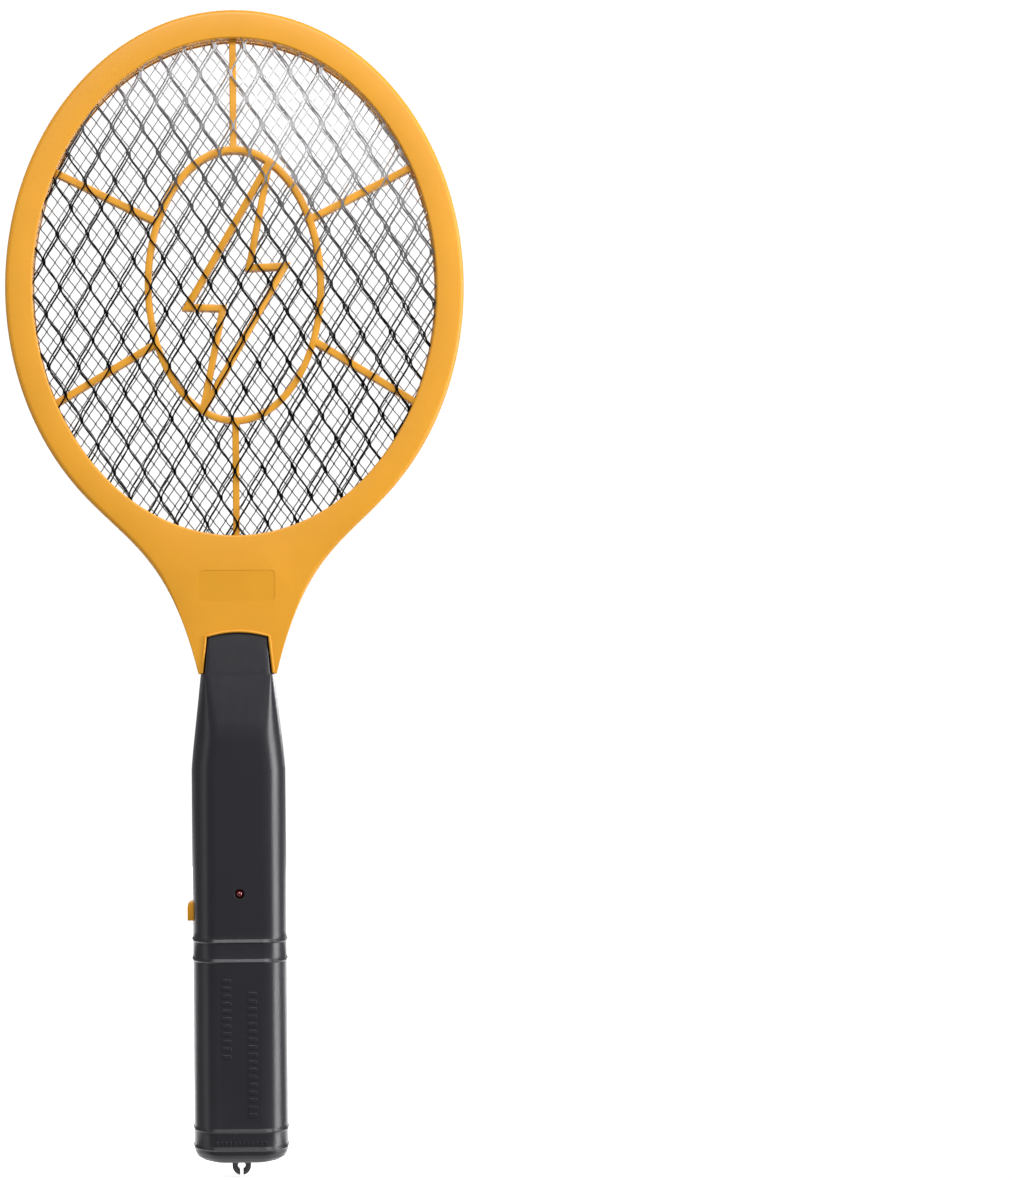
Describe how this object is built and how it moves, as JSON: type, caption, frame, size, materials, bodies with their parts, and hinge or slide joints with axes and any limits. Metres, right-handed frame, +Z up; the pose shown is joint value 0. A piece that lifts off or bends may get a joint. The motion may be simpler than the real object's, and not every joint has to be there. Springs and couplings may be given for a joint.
{
  "type": "electric fly swatter",
  "caption": "Racket-shaped electric fly swatter: oval head with front, middle and rear nets and a ribbed frame, on a handle with side button, indicator light, battery door and hang lug.",
  "frame": {"origin": "foot of the hang lug, at the middle of the width and of the depth", "axes": "+Z up the handle to the top of the head, -Y out of the front face with the light, +X to the right of a person who looks at the front"},
  "size_m": [0.177, 0.027, 0.45],
  "materials": {
    "orange_plastic": "moulded, fine satin grain",
    "black_plastic": "moulded, satin",
    "net_metal": "bare expanded metal",
    "steel": "nickel plated",
    "red_lens": "clear red epoxy",
    "board": "phenolic board",
    "ferrite": "sintered ferrite",
    "winding_tape": "polyester tape",
    "film_capacitor": "dipped epoxy",
    "disc_capacitor": "dipped epoxy",
    "component_black": "moulded epoxy",
    "resistor_body": "lacquered",
    "cell_sleeve": "shrink sleeve",
    "red_wire": "PVC",
    "black_wire": "PVC"
  },
  "bodies": {
    "root": {"base_resistor": "resistor_body", "battery_cell_left": "cell_sleeve", "battery_cell_right": "cell_sleeve", "battery_spring_lower": "steel", "battery_spring_upper": "steel", "battery_wire_negative": "black_wire", "battery_wire_positive": "red_wire", "bleed_resistor": "resistor_body", "circuit_board": "board", "contact_bridge": "steel", "contact_plate_negative": "steel", "contact_plate_positive": "steel", "front_net": "net_metal", "front_rib_frame": "orange_plastic", "handle_front_shell": "black_plastic", "handle_rear_shell": "black_plastic", "handle_screw_1": "steel", "handle_screw_2": "steel", "handle_screw_3": "steel", "head_front_shell": "orange_plastic", "head_rear_shell": "orange_plastic", "head_screw_1": "steel", "head_screw_2": "steel", "head_screw_3": "steel", "head_screw_4": "steel", "head_screw_5": "steel", "head_screw_6": "steel", "head_screw_7": "steel", "high_voltage_capacitor": "film_capacitor", "indicator_led": "red_lens", "middle_net": "net_metal", "multiplier_capacitor_1": "disc_capacitor", "multiplier_capacitor_2": "disc_capacitor", "multiplier_capacitor_3": "disc_capacitor", "net_wire_middle": "red_wire", "net_wire_outer": "black_wire", "oscillator_transistor": "component_black", "rear_net": "net_metal", "rear_rib_frame": "orange_plastic", "rectifier_diode_1": "component_black", "rectifier_diode_2": "component_black", "switch_body": "component_black", "transformer_core": "ferrite", "transformer_winding": "winding_tape"},
    "button": {"power_button": "orange_plastic", "switch_plunger": "component_black"},
    "door": {"battery_door": "black_plastic"}
  },
  "joints": [
    {"name": "button_press", "type": "slide", "parent": "root", "child": "button", "axis": [1, 0, 0], "range_m": [0, 0.0012], "stiffness_N_per_m": 600, "springref_m": -0.001},
    {"name": "door_pull", "type": "slide", "parent": "root", "child": "door", "axis": [0, 1, 0], "range_m": [0, 0.035]}
  ]
}
